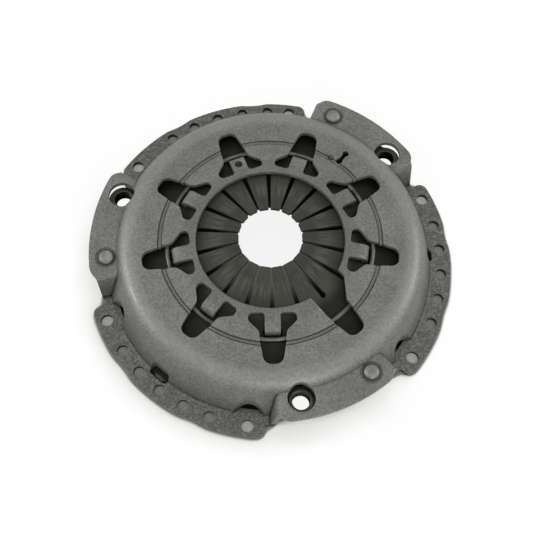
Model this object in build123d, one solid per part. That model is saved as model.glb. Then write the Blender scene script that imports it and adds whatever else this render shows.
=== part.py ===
from build123d import *
import os
from math import atan2, cos, degrees, radians, sin, tan

# A push-type diaphragm clutch cover assembly. Millimetres. The origin is the centre of the bolt
# circle on the face that meets the flywheel, +Z points to the release bearing, and angles run
# anticlockwise from +X.

# The friction ring and the circle that the spring rocks on set the size of everything round them
PLATE_RADIUS = 112.5
PLATE_BORE_RADIUS = 76.0
RING_CIRCLE = 76.2

# Cover: one steel stamping. Its steps outwards are counted from the friction ring.
SHEET = 4.0
CROWN_HEIGHT = 42.0
CROWN_SLOPE = 4.6
SHOULDER_RADIUS = 14.0
WALL_LEAN = 20.0
WALL_ROOM = 11.0
BOLT_SHELF = 8.2
FLANGE_MARGIN = 7.8
FOOT_FILLET = 3.0
OPENING_INSET = 21.5
OPENING_ROUND = 1.4

# Three raised lobes that bridge the drive straps
LOBE_COUNT = 3
LOBE_HEIGHT = 31.0
LOBE_SETBACK = 5.5
LOBE_OVERLAP = 28.5
LOBE_START = 28.5
LOBE_END = 74.0
LOBE_LEAN = 10.0
LOBE_BEND = 6.0
LOBE_CORNER = 10.0
LOBE_TRIM = 5.0
NOTCH_SETBACK = 9.5
NOTCH_ROUND = 2.0
FLANGE_TAIL = 13.5
FLANGE_CORNER = 6.0
SCALLOP_RADIUS = 60.0
SCALLOP_DEPTH = 1.3
SCALLOP_OFFSETS = (-13.5, 13.5)

# Holes in the low flange, and slots and bolt pockets through the foot of the wall
BOLT_COUNT = 6
FIRST_BOLT = 21.7
BOLT_HOLE_RADIUS = 4.5
BALANCE_HOLE_RADIUS = 4.25
BALANCE_COUNT = 5
BALANCE_PITCH = 9.0
SECTION_MIDDLES = (-6.8, 107.4, 231.4)
POCKET_RADIUS = 14.5
WALL_SLOTS = ((0.0, 10.0, 5.0), (228.0, 17.0, 7.0))
WALL_SLOT_INSET = 0.7

# Windows, tongues and the fulcrum bead
WINDOW_COUNT = 9
FIRST_WINDOW = 30.0
OPEN_WINDOW = 310.0
WINDOW_REACH = 19.1
WINDOW_END_HALF = 6.6
WINDOW_WAIST_REACH = 3.3
WINDOW_WAIST_HALF = 9.3
WINDOW_NECK_INSET = 4.7
WINDOW_NECK_HALF = 9.8
WINDOW_HEEL_LENGTH = 5.8
WINDOW_FOOT_HALF = 17.4
INNER_RIM = 3.5
WINDOW_END_ROUND = 6.2
WINDOW_NECK_ROUND = 6.0
WINDOW_HEEL_ROUND = 3.0
WINDOW_TOE_ROUND = 3.4
WINDOW_ROOT_ROUND = 2.6
OPEN_TOE_REACH = 2.8
OPEN_TOE_HALF = 20.3
OPEN_TOE_ROUND = 2.5
TONGUE_HALF = 5.6
TONGUE_INSET = 3.4
TONGUE_BEND_RUN = 6.8
TONGUE_BEND = 5.0
TONGUE_INSIDE_BEND = 1.0
HOOK_REACH = 3.8
PUNCHED_TONGUE = 110.0
PUNCHED_TONGUE_HOLE = 3.0
BEAD_REACH = 5.0
BEAD_WIRE = 1.6
BEAD_DEPTH = 1.1
BONE_ANGLE = 50.0
BONE_REACH = 12.3
BONE_HALF = 4.2
BONE_END_RADIUS = 2.5
BONE_WAIST = 3.2

# Wire fulcrum rings
RING_WIRE = 1.7
RING_GAP_ANGLE = 1.2

# Diaphragm spring
SPRING_SHEET = 2.6
SPRING_OVERHANG = 4.0
TIP_RADIUS = 23.6
KNEE_RADIUS = 42.0
BELT_SLOPE = 0.17
FINGER_SLOPE = 0.20
TIP_SLOPE = 0.12
FINGER_COUNT = 18
FIRST_SLOT = 10.0
SLOT_TIP_WIDTH = 1.4
SLOT_ROOT_WIDTH = 4.4
SLOT_ROOT_INSET = 10.2
EYE_RADIUS = 4.2
SHORT_SLOT_STEP = 9.0
KEYHOLE_ROUND = 2.5

# Cast pressure plate
FRICTION_FACE = 2.0
PLATE_BACK = 16.5
PLATE_CHAMFER = 4.0
PLATE_EDGE = 1.0
RIDGE_INSET = 9.0
RIDGE_TOP_WIDTH = 4.0
RIDGE_BASE_WIDTH = 9.0
RIDGE_ROUND = 1.2
RIDGE_GAPS = 9
RIDGE_GAP_WIDTH = 9.0
EAR_RADIUS = 11.5
EAR_THICKNESS = 5.5
EAR_ROOT_HALF = 14.5
EAR_ROOT_INSET = 6.5
EAR_FLANK = 15.0
TOOL_NOTCH_RADIUS = 13.0

# Drive straps and their rivets
EAR_REACH = 6.8
EAR_ANGLE = 39.1
STRAP_STEP = 2.0
STRAP_RIVET_ANGLE = 64.4
ACCESS_RADIUS = 10.0
LEAF_COUNT = 3
LEAF_SHEET = 0.8
LEAF_HALF = 8.0
LEAF_COVER_EYE = 9.5
LEAF_EAR_EYE = 11.0
LEAF_DROP = 5.2
LEAF_FLAT = 12.5
LEAF_BEND = 18.0
LEAF_BLEND = 4.0
COVER_RIVET_SHANK = 4.0
COVER_RIVET_HEAD = 6.0
COVER_RIVET_HEIGHT = 3.0
COVER_RIVET_TAIL = 2.2
SEAT_RADIUS = 8.0
SEAT_DEPTH = 0.4
HOLLOW_BORE = 6.3
HOLLOW_WALL = 1.2
HOLLOW_HEAD = 9.2
HOLLOW_HEAD_HEIGHT = 1.4
HOLLOW_ROUND = 0.6

# Clearances
WIRE_CLEARANCE = 0.05
STACK_CLEARANCE = 0.05
RIVET_CLEARANCE = 0.1
MOVING_CLEARANCE = 0.3
TONGUE_CLEARANCE = 1.2

# Cutters pass this far beyond the faces they cut
OVERCUT = 2.0
PUNCH_LENGTH = 16.0
TALL = 60.0

# Points closer than this are one point
SAME_POINT = 0.01

# Sizes that follow from the ones above
crown_tan = tan(radians(CROWN_SLOPE))
crown_cos = cos(radians(CROWN_SLOPE))
wall_tan = tan(radians(WALL_LEAN))
wall_cos = cos(radians(WALL_LEAN))
foot_radius = PLATE_RADIUS + WALL_ROOM
bolt_radius = foot_radius + BOLT_SHELF
flange_radius = bolt_radius + FLANGE_MARGIN
lobe_radius = flange_radius - LOBE_SETBACK
lobe_inner_radius = foot_radius - LOBE_OVERLAP
notch_radius = flange_radius - NOTCH_SETBACK
ear_circle = PLATE_RADIUS + EAR_REACH
ear_root_radius = PLATE_RADIUS - EAR_ROOT_INSET
strap_rivet_circle = ear_circle + STRAP_STEP
ridge_circle = PLATE_RADIUS - RIDGE_INSET
spring_radius = ridge_circle + SPRING_OVERHANG
bolt_spacing = 360 / BOLT_COUNT
lobe_spacing = 360 / LOBE_COUNT
lobe_underside = LOBE_HEIGHT - SHEET
window_cut_base = CROWN_HEIGHT / 2

# Places that are counted from the fulcrum rings
opening_radius = RING_CIRCLE - OPENING_INSET
opening_cut_inner = opening_radius - PUNCH_LENGTH / 2
window_foot = opening_radius + INNER_RIM
window_heel = window_foot + WINDOW_HEEL_LENGTH
window_neck = RING_CIRCLE - WINDOW_NECK_INSET
window_waist = RING_CIRCLE + WINDOW_WAIST_REACH
window_end = RING_CIRCLE + WINDOW_REACH
open_toe = opening_radius + OPEN_TOE_REACH
tongue_face = RING_CIRCLE - TONGUE_INSET
tongue_bend_start = tongue_face - TONGUE_BEND_RUN
hook_end = RING_CIRCLE + HOOK_REACH
bead_circle = RING_CIRCLE + BEAD_REACH
bone_centre = RING_CIRCLE + BONE_REACH
slot_root = RING_CIRCLE - SLOT_ROOT_INSET
short_slot_root = slot_root - SHORT_SLOT_STEP


def polar(radius, angle):
    """Point in the XY plane at a radius and an angle in degrees."""
    return radius * cos(radians(angle)), radius * sin(radians(angle))


def crown_top(radius):
    """Height of the crown's upper face."""
    return CROWN_HEIGHT - (radius - opening_radius) * crown_tan


def crown_under(radius):
    """Height of the crown's lower face."""
    return crown_top(radius) - SHEET / crown_cos


def corners_at(shape, radius):
    """Vertices of a shape at a distance from the Z axis."""
    return shape.vertices().filter_by(
        lambda corner: abs(Vector(corner.X, corner.Y).length - radius) < SAME_POINT
    )


def corners_in_line(shape, along):
    """Vertices of a shape at one distance along X."""
    return shape.vertices().filter_by(lambda corner: abs(corner.X - along) < SAME_POINT)


def around(solid, angles):
    """Copies of a solid turned about the Z axis."""
    return [Rot(Z=angle) * solid for angle in angles]


# The rings and the spring are stacked under the crown on the fulcrum circle.
upper_ring_height = crown_under(RING_CIRCLE) - WIRE_CLEARANCE - RING_WIRE
spring_at_ring = upper_ring_height - RING_WIRE - WIRE_CLEARANCE
lower_ring_height = spring_at_ring - SPRING_SHEET - 2 * WIRE_CLEARANCE - RING_WIRE
hook_top = lower_ring_height - RING_WIRE - WIRE_CLEARANCE
keyhole_inner = tongue_face - SHEET - TONGUE_CLEARANCE
keyhole_outer = RING_CIRCLE - RING_WIRE
keyhole_half = TONGUE_HALF + TONGUE_CLEARANCE
knee_height = spring_at_ring + (RING_CIRCLE - KNEE_RADIUS) * FINGER_SLOPE

tongue_angles = []
for index in range(WINDOW_COUNT):
    window_angle = FIRST_WINDOW + index * 360 / WINDOW_COUNT
    if window_angle != OPEN_WINDOW:
        tongue_angles.append(window_angle)
lobe_turns = [index * lobe_spacing for index in range(LOBE_COUNT)]
bolt_angles = [FIRST_BOLT + index * bolt_spacing for index in range(BOLT_COUNT)]

# The straps hang from the lobes and reach down to the ears.
leaf_pitch = LEAF_SHEET + STACK_CLEARANCE
leaf_stack = LEAF_COUNT * leaf_pitch
leaf_top = lobe_underside - STACK_CLEARANCE
ear_top = leaf_top - leaf_stack - LEAF_DROP - MOVING_CLEARANCE
hollow_shank = HOLLOW_BORE + HOLLOW_WALL
cover_end = Vector(*polar(strap_rivet_circle, STRAP_RIVET_ANGLE))
ear_end = Vector(*polar(ear_circle, EAR_ANGLE))
strap_length = (ear_end - cover_end).length
strap_angle = degrees(atan2(ear_end.Y - cover_end.Y, ear_end.X - cover_end.X))


def spring_top(radius):
    """Height of the diaphragm spring's upper face."""
    if radius > RING_CIRCLE:
        return spring_at_ring - (radius - RING_CIRCLE) * BELT_SLOPE
    if radius > KNEE_RADIUS:
        return spring_at_ring + (RING_CIRCLE - radius) * FINGER_SLOPE
    return knee_height + (KNEE_RADIUS - radius) * TIP_SLOPE


def skin_face(depth):
    """Half section below the dome's skin, taken at a depth under the outer face."""
    axis_height = crown_top(0) - depth / crown_cos
    wall_foot = foot_radius + SHEET * wall_tan - depth / wall_cos
    level = SHEET - depth
    corner_radius = (wall_foot - axis_height * wall_tan) / (1 - crown_tan * wall_tan)
    corner = (corner_radius, axis_height - corner_radius * crown_tan)
    foot = (wall_foot - level * wall_tan, level)
    beyond = flange_radius + OVERCUT + depth
    floor = -depth
    skin = FilletPolyline(
        (0, axis_height), corner, foot, (beyond, level),
        radius=[SHOULDER_RADIUS - depth, FOOT_FILLET + depth],
    )
    rest = Polyline((beyond, level), (beyond, floor), (0, floor), (0, axis_height))
    return Plane.XZ * make_face(skin.edges() + rest.edges())


def sector(inner, outer, start, end):
    """Ring segment in the XY plane between two radii and two angles."""
    middle = (start + end) / 2
    edges = [
        Line(polar(inner, start), polar(outer, start)),
        ThreePointArc(polar(outer, start), polar(outer, middle), polar(outer, end)),
        Line(polar(outer, end), polar(inner, end)),
        ThreePointArc(polar(inner, end), polar(inner, middle), polar(inner, start)),
    ]
    return make_face(edges)


def lobe_level(height, depth):
    """Plan of one lobe at a height, taken at a depth under its leaning end walls."""
    run = height * tan(radians(LOBE_LEAN)) + depth / cos(radians(LOBE_LEAN))
    inset = degrees(run / lobe_radius)
    outer = flange_radius + OVERCUT + depth
    return Pos(Z=height) * sector(lobe_inner_radius, outer, LOBE_START + inset, LOBE_END - inset)


def lobe_block(depth):
    """Solid under one lobe's skin, taken at a depth under its outer face."""
    block = loft([lobe_level(-depth, depth), lobe_level(LOBE_HEIGHT - depth, depth)], ruled=True)
    bends = block.edges().filter_by(GeomType.LINE).group_by(Axis.Z)[-1]
    return fillet(bends, LOBE_BEND - depth)


def outline_face():
    """Outer edge of the blank: low flange sections that end just past their bolts, and shorter lobes."""
    tail = degrees(FLANGE_TAIL / flange_radius)
    start = FIRST_BOLT - bolt_spacing
    section = sector(opening_radius, flange_radius, start - tail, start + bolt_spacing + tail)
    section = fillet(corners_at(section, flange_radius), FLANGE_CORNER)
    face = Circle(notch_radius) + around(section, lobe_turns)
    trim = degrees(LOBE_TRIM / lobe_radius)
    lobe = sector(lobe_inner_radius, lobe_radius, LOBE_START + trim, LOBE_END - trim)
    lobe = fillet(corners_at(lobe, lobe_radius), LOBE_CORNER)
    face += around(lobe, lobe_turns)
    face = fillet(corners_at(face, notch_radius), NOTCH_ROUND)
    reach = flange_radius + SCALLOP_RADIUS - SCALLOP_DEPTH
    for middle in SECTION_MIDDLES:
        for offset_angle in SCALLOP_OFFSETS:
            face -= Pos(*polar(reach, middle + offset_angle)) * Circle(SCALLOP_RADIUS)
    return face


def window_face():
    """Y-shaped window along +X, with the tongue left standing between its two legs."""
    half = [
        (window_foot, WINDOW_FOOT_HALF),
        (window_heel, WINDOW_FOOT_HALF),
        (window_neck, WINDOW_NECK_HALF),
        (window_waist, WINDOW_WAIST_HALF),
        (window_end, WINDOW_END_HALF),
    ]
    mirrored = [(x, -y) for x, y in reversed(half)]
    face = make_face(Polyline(*half, *mirrored, close=True))
    face = fillet(corners_in_line(face, window_end), WINDOW_END_ROUND)
    face = fillet(corners_in_line(face, window_neck), WINDOW_NECK_ROUND)
    face = fillet(corners_in_line(face, window_heel), WINDOW_HEEL_ROUND)
    face = fillet(corners_in_line(face, window_foot), WINDOW_TOE_ROUND)
    tongue_start = window_foot - OVERCUT
    length = tongue_bend_start - tongue_start
    face -= Pos(tongue_start + length / 2) * Rectangle(length, 2 * TONGUE_HALF)
    roots = corners_in_line(face, window_foot).sort_by(lambda corner: abs(corner.Y))[:2]
    return fillet(roots, WINDOW_ROOT_ROUND)


def open_window_face():
    """The one window without a tongue, which runs through the inner ring into the opening."""
    points = [
        (opening_cut_inner, -WINDOW_NECK_HALF),
        (window_neck, -WINDOW_NECK_HALF),
        (window_waist, -WINDOW_WAIST_HALF),
        (window_end, -WINDOW_END_HALF),
        (window_end, WINDOW_END_HALF),
        (window_waist, WINDOW_WAIST_HALF),
        (window_neck, WINDOW_NECK_HALF),
        (open_toe, OPEN_TOE_HALF),
        (opening_cut_inner, OPEN_TOE_HALF),
    ]
    face = make_face(Polyline(*points, close=True))
    face = fillet(corners_in_line(face, window_end), WINDOW_END_ROUND)
    return fillet(corners_in_line(face, open_toe), OPEN_TOE_ROUND)


def bone_face():
    """Small radial slot with round ends and a narrower waist."""
    face = Rectangle(2 * BONE_HALF, BONE_WAIST)
    for side in (-1, 1):
        face += Pos(side * BONE_HALF) * Circle(BONE_END_RADIUS)
    return face


def tongue_bend():
    """Lower part of a tongue along +X: it turns down through the spring and hooks outwards."""
    back = tongue_face - SHEET
    front_line = FilletPolyline(
        (tongue_bend_start, crown_top(tongue_bend_start)),
        (tongue_face, crown_top(tongue_face)),
        (tongue_face, hook_top),
        (hook_end, hook_top),
        radius=[TONGUE_BEND, TONGUE_INSIDE_BEND],
    )
    back_line = FilletPolyline(
        (tongue_bend_start, crown_under(tongue_bend_start)),
        (back, crown_under(back)),
        (back, hook_top - SHEET),
        (hook_end, hook_top - SHEET),
        radius=[TONGUE_INSIDE_BEND, TONGUE_BEND],
    )
    ends = [
        Line(front_line @ 0, back_line @ 0),
        Line(front_line @ 1, back_line @ 1),
    ]
    section = Plane.XZ * make_face(front_line.edges() + back_line.edges() + ends)
    return extrude(section, TONGUE_HALF, both=True)


def opening_cutter():
    """Round cutter for the central opening, flared where the sheet's edge rolls in."""
    top = crown_top(opening_radius)
    flare = opening_radius + OPENING_ROUND
    edges = [
        Line((0, -TALL), (opening_radius, -TALL)),
        Line((opening_radius, -TALL), (opening_radius, top - OPENING_ROUND)),
        RadiusArc((opening_radius, top - OPENING_ROUND), (flare, top), OPENING_ROUND),
        Line((flare, top), (flare, TALL)),
        Line((flare, TALL), (0, TALL)),
        Line((0, TALL), (0, -TALL)),
    ]
    return revolve(Plane.XZ * make_face(edges), Axis.Z)


def flange_cutters():
    """Bolt holes, balance holes and the slots through the foot of the wall."""
    spots = [(angle, BOLT_HOLE_RADIUS) for angle in bolt_angles]
    for middle in SECTION_MIDDLES:
        first = middle - (BALANCE_COUNT - 1) / 2 * BALANCE_PITCH
        for index in range(BALANCE_COUNT):
            spots.append((first + index * BALANCE_PITCH, BALANCE_HOLE_RADIUS))
    cutters = [Pos(*polar(bolt_radius, angle)) * Cylinder(size, PUNCH_LENGTH) for angle, size in spots]
    for angle, length, width in WALL_SLOTS:
        slot = Pos(foot_radius - WALL_SLOT_INSET) * SlotOverall(length, width, rotation=90)
        cutters.append(Rot(Z=angle) * extrude(slot, PUNCH_LENGTH, both=True))
    return cutters


def lobe_cutters():
    """Tool hole, rivet hole and rivet seat of each lobe."""
    access = Pos(*polar(ear_circle, EAR_ANGLE), LOBE_HEIGHT) * Cylinder(ACCESS_RADIUS, PUNCH_LENGTH)
    place = Pos(*polar(strap_rivet_circle, STRAP_RIVET_ANGLE), LOBE_HEIGHT)
    hole = place * Cylinder(COVER_RIVET_SHANK + RIVET_CLEARANCE, PUNCH_LENGTH)
    seat = place * Cylinder(SEAT_RADIUS, 2 * SEAT_DEPTH)
    return around(access, lobe_turns) + around(hole, lobe_turns) + around(seat, lobe_turns)


def crown_cutters():
    """Windows, the window that is open to the centre, and the bone-shaped slot."""
    window = Pos(Z=window_cut_base) * extrude(window_face(), TALL)
    open_window = Pos(Z=window_cut_base) * extrude(open_window_face(), TALL)
    bone = Pos(bone_centre, 0, window_cut_base) * extrude(bone_face(), TALL)
    return around(window, tongue_angles) + [Rot(Z=OPEN_WINDOW) * open_window, Rot(Z=BONE_ANGLE) * bone]


def make_cover():
    """The stamping: skins first, then its outline, bead, holes, windows and tongues."""
    outside = revolve(skin_face(0), Axis.Z)
    inside = revolve(skin_face(SHEET), Axis.Z)
    outside += around(lobe_block(0), lobe_turns)
    inside += around(lobe_block(SHEET), lobe_turns)
    pocket = Pos(bolt_radius, 0, SHEET + TALL / 2) * Cylinder(POCKET_RADIUS, TALL)
    cover = outside - inside - around(pocket, bolt_angles)
    cover &= extrude(outline_face(), TALL)
    bead_rise = BEAD_WIRE - BEAD_DEPTH
    cover += Pos(Z=crown_under(bead_circle) + bead_rise) * Torus(bead_circle, BEAD_WIRE)
    cover -= Pos(Z=crown_top(bead_circle) + bead_rise) * Torus(bead_circle, BEAD_WIRE)
    cover -= [opening_cutter()] + flange_cutters() + lobe_cutters() + crown_cutters()
    cover += around(tongue_bend(), tongue_angles)
    punch = Pos(tongue_bend_start, 0, CROWN_HEIGHT) * Cylinder(PUNCHED_TONGUE_HOLE, PUNCH_LENGTH)
    return cover - Rot(Z=PUNCHED_TONGUE) * punch


def make_wire_ring(height):
    """Round wire bent to a ring, with its two ends a small gap apart."""
    section = Plane.XZ * Pos(RING_CIRCLE, height) * Circle(RING_WIRE)
    ring = revolve(section, Axis.Z, 360 - RING_GAP_ANGLE)
    return Rot(Z=OPEN_WINDOW + 180) * ring


def slot_face(angle):
    """Slot between two fingers along +X: a keyhole for a tongue, a round eye, or a short plain slot."""
    start = TIP_RADIUS - OVERCUT
    half_tip = SLOT_TIP_WIDTH / 2
    half_root = SLOT_ROOT_WIDTH / 2
    root = short_slot_root if angle == OPEN_WINDOW else slot_root
    slot = make_face(Polyline(
        (start, -half_tip), (root, -half_root), (root, half_root), (start, half_tip), close=True,
    ))
    if angle in tongue_angles:
        hole = fillet(Rectangle(keyhole_outer - keyhole_inner, 2 * keyhole_half).vertices(), KEYHOLE_ROUND)
        return slot + Pos((keyhole_inner + keyhole_outer) / 2) * hole
    eye = half_root if angle == OPEN_WINDOW else EYE_RADIUS
    return slot + Pos(root) * Circle(eye)


def make_spring():
    """Dished spring: a conical belt outside the fulcrum and eighteen fingers inside it."""
    radii = [spring_radius, RING_CIRCLE, KNEE_RADIUS, TIP_RADIUS]
    upper = [(radius, spring_top(radius)) for radius in radii]
    lower = [(radius, spring_top(radius) - SPRING_SHEET) for radius in reversed(radii)]
    section = Plane.XZ * make_face(Polyline(*upper, *lower, close=True))
    cutters = []
    for index in range(FINGER_COUNT):
        angle = FIRST_SLOT + index * 360 / FINGER_COUNT
        cutters.append(Rot(Z=angle) * extrude(slot_face(angle), TALL))
    return revolve(section, Axis.Z) - cutters


def ear_face():
    """Plan of one ear along +X, tapering from the ring to a round end."""
    reach = ear_circle + EAR_RADIUS * sin(radians(EAR_FLANK))
    half = EAR_RADIUS * cos(radians(EAR_FLANK))
    root = make_face(Polyline(
        (ear_root_radius, -EAR_ROOT_HALF), (reach, -half), (reach, half), (ear_root_radius, EAR_ROOT_HALF),
        close=True,
    ))
    return root + Pos(ear_circle) * Circle(EAR_RADIUS)


def make_plate():
    """Iron casting: friction ring, fulcrum ridge for the spring and three ears for the straps."""
    half_top = RIDGE_TOP_WIDTH / 2
    ridge_height = spring_top(ridge_circle + half_top) - SPRING_SHEET - MOVING_CLEARANCE
    half_base = RIDGE_BASE_WIDTH / 2
    outline = Polyline(
        (PLATE_BORE_RADIUS, FRICTION_FACE + PLATE_EDGE),
        (PLATE_BORE_RADIUS + PLATE_EDGE, FRICTION_FACE),
        (PLATE_RADIUS - PLATE_EDGE, FRICTION_FACE),
        (PLATE_RADIUS, FRICTION_FACE + PLATE_EDGE),
        (PLATE_RADIUS, PLATE_BACK - PLATE_CHAMFER),
        (PLATE_RADIUS - PLATE_CHAMFER / 2, PLATE_BACK),
        (PLATE_BORE_RADIUS + PLATE_EDGE, PLATE_BACK),
        (PLATE_BORE_RADIUS, PLATE_BACK - PLATE_EDGE),
        close=True,
    )
    plate = revolve(Plane.XZ * make_face(outline), Axis.Z)
    ridge_face = make_face(Polyline(
        (ridge_circle - half_base, PLATE_BACK - PLATE_EDGE),
        (ridge_circle - half_top, ridge_height),
        (ridge_circle + half_top, ridge_height),
        (ridge_circle + half_base, PLATE_BACK - PLATE_EDGE),
        close=True,
    ))
    crest = ridge_face.vertices().sort_by(Axis.Y)[-2:]
    ridge = revolve(Plane.XZ * fillet(crest, RIDGE_ROUND), Axis.Z)
    gap = Pos(ridge_circle, 0, PLATE_BACK + TALL / 2) * Box(2 * RIDGE_BASE_WIDTH, RIDGE_GAP_WIDTH, TALL)
    gap_angles = [FIRST_WINDOW + index * 360 / RIDGE_GAPS for index in range(RIDGE_GAPS)]
    plate += ridge - around(gap, gap_angles)
    ear_foot = ear_top - EAR_THICKNESS
    ear = Pos(Z=ear_foot) * extrude(ear_face(), EAR_THICKNESS)
    tool_notch = Pos(ear_circle, 0, ear_foot / 2) * Cylinder(TOOL_NOTCH_RADIUS, ear_foot)
    hole = Pos(ear_circle, 0, ear_top) * Cylinder(hollow_shank + RIVET_CLEARANCE, TALL)
    ear_turns = [EAR_ANGLE + turn for turn in lobe_turns]
    plate += around(ear, ear_turns)
    return plate - around(tool_notch, ear_turns) - around(hole, ear_turns)


def strap_plan():
    """Plan of one leaf from the cover rivet at the origin along +X to the ear."""
    leaf = Pos(strap_length / 2) * Rectangle(strap_length, 2 * LEAF_HALF)
    leaf += Circle(LEAF_COVER_EYE)
    leaf += Pos(strap_length) * Circle(LEAF_EAR_EYE)
    leaf = fillet(leaf.vertices(), LEAF_BLEND)
    leaf -= Circle(COVER_RIVET_SHANK + RIVET_CLEARANCE)
    return leaf - Pos(strap_length) * Circle(hollow_shank + MOVING_CLEARANCE)


def make_leaf(level):
    """One leaf of a strap pack; level 0 lies against the lobe."""
    top = leaf_top - level * leaf_pitch
    low = top - LEAF_DROP
    far = strap_length + LEAF_EAR_EYE + OVERCUT
    near = -LEAF_COVER_EYE - OVERCUT
    bends = [LEAF_BEND, LEAF_BEND]
    upper_points = [(near, top), (LEAF_FLAT, top), (strap_length - LEAF_FLAT, low), (far, low)]
    lower_points = [(x, z - LEAF_SHEET) for x, z in upper_points]
    upper = FilletPolyline(*upper_points, radius=bends)
    lower = FilletPolyline(*lower_points, radius=bends)
    ends = [Line(upper @ 0, lower @ 0), Line(upper @ 1, lower @ 1)]
    side = Plane.XZ * make_face(upper.edges() + lower.edges() + ends)
    leaf = extrude(side, 2 * LEAF_EAR_EYE, both=True) & extrude(strap_plan(), TALL)
    return Pos(cover_end.X, cover_end.Y) * Rot(Z=strap_angle) * leaf


def make_cover_rivet():
    """Round-headed rivet through a lobe and a strap pack."""
    seat = LOBE_HEIGHT - SEAT_DEPTH
    crown_radius = (COVER_RIVET_HEAD**2 + COVER_RIVET_HEIGHT**2) / (2 * COVER_RIVET_HEIGHT)
    head = Pos(Z=seat + COVER_RIVET_HEIGHT - crown_radius) * Sphere(crown_radius)
    head &= Pos(Z=seat + COVER_RIVET_HEIGHT / 2) * Cylinder(COVER_RIVET_HEAD, COVER_RIVET_HEIGHT)
    tail_top = leaf_top - leaf_stack
    length = seat - tail_top
    shank = Pos(Z=tail_top + length / 2) * Cylinder(COVER_RIVET_SHANK, length)
    tail = Pos(Z=tail_top - COVER_RIVET_TAIL / 2) * Cylinder(COVER_RIVET_HEAD, COVER_RIVET_TAIL)
    rivet = head + shank + tail
    return Pos(cover_end.X, cover_end.Y) * rivet


def make_ear_rivet():
    """Hollow rivet through an ear, with both ends rolled over to flat rings."""
    stack_top = ear_top + MOVING_CLEARANCE + leaf_stack + MOVING_CLEARANCE
    stack_bottom = ear_top - EAR_THICKNESS
    top = stack_top + HOLLOW_HEAD_HEIGHT
    bottom = stack_bottom - HOLLOW_HEAD_HEIGHT
    section = make_face(Polyline(
        (HOLLOW_BORE, bottom), (HOLLOW_HEAD, bottom), (HOLLOW_HEAD, stack_bottom),
        (hollow_shank, stack_bottom), (hollow_shank, stack_top), (HOLLOW_HEAD, stack_top),
        (HOLLOW_HEAD, top), (HOLLOW_BORE, top),
        close=True,
    ))
    rims = section.vertices().group_by(Axis.Y)
    section = fillet(rims[0] + rims[-1], HOLLOW_ROUND)
    return Pos(ear_end.X, ear_end.Y) * revolve(Plane.XZ * section, Axis.Z)


os.makedirs("parts", exist_ok=True)
parts = {
    "cover": make_cover(),
    "diaphragm_spring": make_spring(),
    "upper_fulcrum_ring": make_wire_ring(upper_ring_height),
    "lower_fulcrum_ring": make_wire_ring(lower_ring_height),
    "pressure_plate": make_plate(),
}
for number, turn in enumerate(lobe_turns, start=1):
    for level in range(LEAF_COUNT):
        leaf_name = f"drive_strap_{number}_{'abc'[level]}"
        parts[leaf_name] = Rot(Z=turn) * make_leaf(level)
    parts[f"cover_rivet_{number}"] = Rot(Z=turn) * make_cover_rivet()
    parts[f"ear_rivet_{number}"] = Rot(Z=turn) * make_ear_rivet()
for name, solid in parts.items():
    export_step(solid, f"parts/{name}.step")
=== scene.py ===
from math import cos, pi, radians, sin, sqrt

import bmesh
import bpy
import numpy as np
from mathutils import Matrix, Vector


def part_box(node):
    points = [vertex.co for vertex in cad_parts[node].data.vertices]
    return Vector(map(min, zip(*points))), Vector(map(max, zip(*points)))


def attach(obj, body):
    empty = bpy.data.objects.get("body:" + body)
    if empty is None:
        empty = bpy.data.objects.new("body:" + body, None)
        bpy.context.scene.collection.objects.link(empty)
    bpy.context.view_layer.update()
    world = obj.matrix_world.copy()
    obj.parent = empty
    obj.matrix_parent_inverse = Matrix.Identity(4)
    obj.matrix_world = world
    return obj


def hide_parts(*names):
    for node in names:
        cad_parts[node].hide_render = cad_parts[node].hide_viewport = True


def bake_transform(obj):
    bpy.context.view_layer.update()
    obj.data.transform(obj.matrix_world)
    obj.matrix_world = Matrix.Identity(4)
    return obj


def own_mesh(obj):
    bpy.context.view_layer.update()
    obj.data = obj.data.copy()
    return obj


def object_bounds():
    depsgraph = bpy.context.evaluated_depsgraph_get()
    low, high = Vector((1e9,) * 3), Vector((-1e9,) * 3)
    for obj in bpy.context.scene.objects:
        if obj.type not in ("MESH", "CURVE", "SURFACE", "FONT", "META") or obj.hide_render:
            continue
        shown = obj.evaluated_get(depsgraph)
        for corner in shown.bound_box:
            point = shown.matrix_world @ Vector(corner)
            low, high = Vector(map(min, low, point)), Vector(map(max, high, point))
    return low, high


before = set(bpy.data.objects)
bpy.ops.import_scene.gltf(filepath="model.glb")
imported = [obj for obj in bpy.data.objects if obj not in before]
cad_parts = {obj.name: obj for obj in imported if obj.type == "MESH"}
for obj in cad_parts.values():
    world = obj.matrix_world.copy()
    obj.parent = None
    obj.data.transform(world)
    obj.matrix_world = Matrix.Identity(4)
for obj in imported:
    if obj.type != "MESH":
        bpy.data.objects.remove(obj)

cad_box = [list(corner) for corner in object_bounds()]


# ---------------------------------------------------------------------------------------------------
# The pressure plate is a grey iron casting. Its back and its three ears are left as they came from
# the sand, and the face that meets the clutch disc is ground flat in fine rings.

MM = 0.001


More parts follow.
